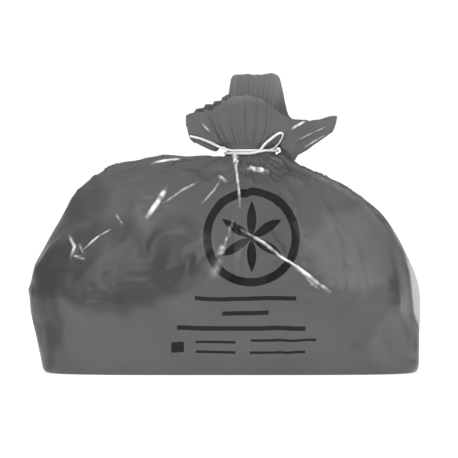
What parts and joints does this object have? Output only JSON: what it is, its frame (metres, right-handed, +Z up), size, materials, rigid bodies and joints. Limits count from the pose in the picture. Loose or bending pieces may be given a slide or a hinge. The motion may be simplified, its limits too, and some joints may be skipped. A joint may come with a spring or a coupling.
{
  "type": "garbage bag",
  "caption": "Filled garbage bag of grey plastic film, standing on its flat base, gathered at the neck and closed with a white twist tie.",
  "frame": {"origin": "middle of the flat base that the bag stands on", "axes": "+Z up through the tied neck, +X along the bag's width, to the right of its printed face, and -Y out of the printed face"},
  "size_m": [0.4902, 0.2417, 0.3719],
  "materials": {
    "bag_film": "grey low-density polyethylene film, glossy, with soft creases and a black print",
    "tie_coating": "white plastic coating over a thin steel wire"
  },
  "bodies": {
    "root": {"bag": "bag_film", "twist_tie": "tie_coating"}
  },
  "joints": []
}
